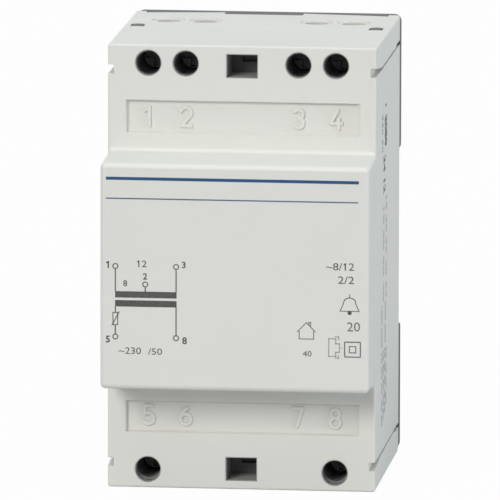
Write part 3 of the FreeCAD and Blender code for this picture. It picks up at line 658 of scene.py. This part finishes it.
def make_front_numbers():
    """Numbers of the wiring diagram, at the left, and of the output and cover, at the right."""
    plain, medium, bold = 0.0, 0.012, 0.025
    numbers = {
        "diagram_1": ("1", (-25.65, 1.64), (-25.0, 3.06), dark_ink, bold),
        "diagram_3": ("3", (-10.61, 1.9), (-9.7, 3.23), dark_ink, bold),
        "diagram_2": ("2", (-18.4, -0.55), (-17.45, 0.75), dark_ink, bold),
        "diagram_5": ("5", (-25.84, -13.45), (-24.98, -12.02), dark_ink, bold),
        "diagram_8": ("8", (-10.47, -13.48), (-9.5, -12.03), dark_ink, bold),
        "first_tap": ("12", (-19.3, 1.94), (-17.6, 3.3), dark_ink, plain),
        "second_tap": ("8", (-22.37, -1.97), (-21.5, -0.74), dark_ink, medium),
        "input_numbers": ("~230", (-23.25, -15.66), (-18.74, -14.3), dark_ink, plain),
        "input_rate": ("/50", (-17.3, -15.72), (-14.5, -14.42), dark_ink, plain),
        "output_numbers": ("~8/12", (18.3, 2.05), (23.98, 3.55), dark_ink, plain),
        "output_currents": ("2/2", (20.75, -0.65), (23.97, 0.88), dark_ink, plain),
        "cover_number": ("20", (22.6, -10.2), (25.2, -8.36), grey_ink, plain),
        "heat_number": ("40", (13.75, -15.45), (15.5, -14.3), dark_ink, plain),
    }
    for name, (text, low, high, finish, heavy) in numbers.items():
        printed_number(name, text, low, high, finish, heavy, front_plane)


def make_number_flags():
    """Short stroke from the top of each printed 1 to its tip, which the lettering lacks."""
    line_width = 0.22
    ink = bmesh.new()
    for top, tip in (((-25.34, 2.98), (-25.74, 2.68)),
                     ((-19.21, 3.22), (-19.5, 2.98)),
                     ((22.25, 3.44), (21.9, 3.18))):
        flat_bar(ink, top, tip, line_width)
    finish_print("number_flags", ink, dark_ink)


def make_bell_symbol():
    """Bell outline on a base line, with a stem above it and a filled clapper below."""
    apex, base, half_base = -3.45, -6.15, 1.91
    dome, half_dome = 0.95, 1.2
    flare = 1.2
    middle = 23.1
    clapper, clapper_drop = 0.42, 0.336
    stem = 0.75
    arc_steps, side_steps = 9, 5
    line_width = 0.16
    right_side = []
    for step in range(arc_steps + 1):
        angle = quarter_turn * step / arc_steps
        right_side.append((half_dome * math.sin(angle), apex - dome * (1 - math.cos(angle))))
    for step in range(1, side_steps + 1):
        along = step / side_steps
        right_side.append((half_dome + (half_base - half_dome) * along ** flare,
                           apex - dome + (base - apex + dome) * along))
    outline = [(middle - out, up) for out, up in reversed(right_side)]
    outline += [(middle + out, up) for out, up in right_side[1:]]
    ink = bmesh.new()
    flat_path(ink, outline, line_width)
    flat_bar(ink, (middle - half_base, base), (middle + half_base, base), line_width)
    flat_bar(ink, (middle, apex), (middle, apex + stem), line_width)
    finish_print("bell_symbol", ink, grey_ink)
    ink = bmesh.new()
    flat_disc(ink, (middle, base - clapper_drop), clapper)
    finish_print("bell_clapper", ink, dark_ink)


def make_house_symbol():
    """House outline: walls, eaves that stand out, and a small chimney at the right."""
    left, right, foot, eaves, apex = 13.0, 15.9, -11.9, -10.35, -8.6
    middle = (left + right) / 2
    overhang, dip = 0.35, 0.1
    chimney_left, chimney_right, chimney_top = 0.5, 0.85, 0.05
    line_width = 0.17
    walls = [(left, eaves), (left, foot), (right, foot), (right, eaves)]
    roof = [(left - overhang, eaves - dip), (middle, apex), (right + overhang, eaves - dip)]
    chimney = [(middle + chimney_left, apex - chimney_left),
               (middle + chimney_left, apex + chimney_top),
               (middle + chimney_right, apex + chimney_top),
               (middle + chimney_right, apex - chimney_right)]
    ink = bmesh.new()
    for outline in (walls, roof, chimney):
        flat_path(ink, outline, line_width)
    finish_print("house_symbol", ink, grey_ink)


def make_rail_symbol():
    """Outline of a rail-mounted case seen from its end, with its rail's flanges."""
    left, step, right = 18.95, 20.35, 21.1
    top, foot = -11.75, -15.3
    upper, lower = -12.75, -14.45
    case_line, flange_line = 0.2, 0.18
    flange_start, flange_end = step - 0.15, right - 0.2
    flange_heights = ((top + 0.4, top - 0.15), (foot - 0.35, foot + 0.2))
    dash_start, dash_end, dash_height = right + 0.25, right + 0.55, -13.6
    ink = bmesh.new()
    flat_path(ink, [(left, top), (step, top), (step, upper), (right, upper), (right, lower),
                    (step, lower), (step, foot), (left, foot)], case_line, closed=True)
    for up, tip in flange_heights:
        flat_path(ink, [(flange_start, up), (flange_end, up), (flange_end, tip)], flange_line)
    flat_bar(ink, (dash_start, dash_height), (dash_end, dash_height), case_line)
    finish_print("rail_symbol", ink, faint_ink)


def make_square_symbol():
    """Square within a square."""
    outer_low, outer_high = (22.0, -15.5), (25.4, -12.25)
    inner_low, inner_high = (22.98, -14.62), (24.45, -13.15)
    outer_line, inner_line, outer_corner = 0.24, 0.2, 0.25
    ink = bmesh.new()
    flat_frame(ink, outer_low, outer_high, outer_line, corner=outer_corner)
    flat_frame(ink, inner_low, inner_high, inner_line)
    finish_print("square_symbol", ink, grey_ink)


def make_side_numbers():
    """Plain numbers that read down the right side, each row with its own weight of stroke."""
    rows = [
        ("1", (-31.2, 18.2), (-30.2, 21.2), grey_ink, 0.0),
        ("2050", (-28.7, 17.6), (-22.4, 21.8), dark_ink, 0.06),
        ("230 50", (-29.6, 12.2), (-22.0, 14.2), grey_ink, 0.0),
        ("24 12", (-20.9, 15.2), (-13.2, 18.9), dark_ink, 0.03),
        ("10 20 30 40", (-10.5, 15.0), (8.8, 17.0), pale_ink, 0.05),
        ("15 25 35 45 55", (-12.0, 20.2), (8.8, 22.2), pale_ink, 0.04),
        ("1000 2000", (9.2, 11.6), (17.8, 13.9), pale_ink, 0.05),
        ("3000 4000", (9.2, 18.4), (17.8, 20.8), pale_ink, 0.05),
        ("12 24 36 48 60", (18.8, 12.0), (34.0, 14.2), pale_ink, 0.06),
        ("10 30 50 70 90", (18.8, 14.8), (33.2, 17.0), pale_ink, 0.06),
        ("15 25 35 45 55", (18.8, 17.6), (32.0, 19.8), pale_ink, 0.06),
        ("20 40 60 80", (18.8, 20.4), (30.6, 22.6), pale_ink, 0.06),
    ]
    for count, (text, low, high, finish, heavy) in enumerate(rows, 1):
        printed_number("side_number_%d" % count, text, low, high, finish, heavy, side_plane)


make_title_lines()
make_winding_bars()
make_diagram_lines()
make_front_numbers()
make_number_flags()
make_bell_symbol()
make_house_symbol()
make_rail_symbol()
make_square_symbol()
make_side_numbers()


# Studio
def make_floor():
    """Pale floor, shown near to white, that keeps a soft shadow."""
    radius, sides = 4.0, 96
    below = 0.1 * mm
    pale_grey, roughness = (0.62, 0.62, 0.62), 0.9
    shown_white = 0.97
    flat = bmesh.new()
    bmesh.ops.create_circle(flat, cap_ends=True, radius=radius, segments=sides,
                            matrix=Matrix.Translation((0, 0, -below)))
    floor = add_object("floor", take_mesh("floor", flat))
    material, shader = new_material("pale_floor", pale_grey, roughness, specular=0.0)
    tree = material.node_tree
    glow = tree.nodes.new("ShaderNodeEmission")
    glow.inputs["Strength"].default_value = 1.0
    path = tree.nodes.new("ShaderNodeLightPath")
    share = add_math(tree, "MULTIPLY", path.outputs["Is Camera Ray"], shown_white)
    blend = tree.nodes.new("ShaderNodeMixShader")
    feed(tree, blend.inputs["Fac"], share)
    feed(tree, blend.inputs[1], shader.outputs["BSDF"])
    feed(tree, blend.inputs[2], glow.outputs["Emission"])
    feed(tree, tree.nodes["Material Output"].inputs["Surface"], blend.outputs["Shader"])
    floor.data.materials.append(material)


def make_world():
    """Even light all round, seen as white by the camera, in gloss and through glass."""
    light_level = 0.22
    world = bpy.data.worlds.new("studio")
    world.use_nodes = True
    bpy.context.scene.world = world
    tree = world.node_tree
    back = tree.nodes["Background"]
    back.inputs["Color"].default_value = (1.0, 1.0, 1.0, 1.0)
    path = tree.nodes.new("ShaderNodeLightPath")
    seen = add_math(tree, "MAXIMUM", path.outputs["Is Glossy Ray"],
                    path.outputs["Is Transmission Ray"])
    seen = add_math(tree, "MAXIMUM", path.outputs["Is Camera Ray"], seen)
    feed(tree, back.inputs["Strength"], add_range(tree, seen, 0.0, 1.0, light_level, 1.0))


def make_sun(name, way, strength, spread, color):
    """Sun that shines along way, with a spread in degrees that softens its shadows."""
    lamp = bpy.data.lights.new(name, "SUN")
    lamp.energy = strength
    lamp.angle = math.radians(spread)
    lamp.color = color
    sun = add_object(name, lamp)
    sun.rotation_mode = "QUATERNION"
    sun.rotation_quaternion = Vector(way).to_track_quat("-Z", "Y")


def make_camera():
    """Camera at the photo's angle: slightly from the right and from above."""
    azimuth, elevation, roll = math.radians(6.3), math.radians(9.15), math.radians(0.125)
    distance, far_limit = 2.5, 50
    pixels_per_mm = 4.992
    frame_pixels = 500
    aim_right, aim_up = 1.675 * mm, 3.676 * mm
    origin = Vector((0, terminal_face, middle_height))
    back = Vector((math.sin(azimuth) * math.cos(elevation),
                   -math.cos(azimuth) * math.cos(elevation), math.sin(elevation)))
    right = Vector((math.cos(azimuth), math.sin(azimuth), 0))
    up = back.cross(right)
    lens = bpy.data.cameras.new("camera")
    lens.lens = pixels_per_mm / mm * distance * lens.sensor_width / frame_pixels
    lens.clip_end = far_limit
    camera = add_object("camera", lens)
    stand = origin + back * distance
    target = origin + right * aim_right + up * aim_up
    look = (target - stand).to_track_quat("-Z", "Y").to_matrix().to_4x4()
    camera.matrix_world = Matrix.Translation(stand) @ look @ Matrix.Rotation(roll, 4, "Z")
    bpy.context.scene.camera = camera


make_floor()
make_world()
make_sun("key_sun", way=(6.5, 16.0, -8.4), strength=1.61, spread=24.0,
         color=(1.0, 0.99, 0.965))
make_sun("top_sun", way=(0.0, 0.08, -1.0), strength=1.1, spread=60.0,
         color=(0.91, 1.0, 1.03))
make_sun("side_sun", way=(-1.0, 0.15, -0.1), strength=1.47, spread=30.0,
         color=(0.89, 1.0, 1.05))
make_camera()
bpy.context.scene.view_settings.view_transform = "Standard"
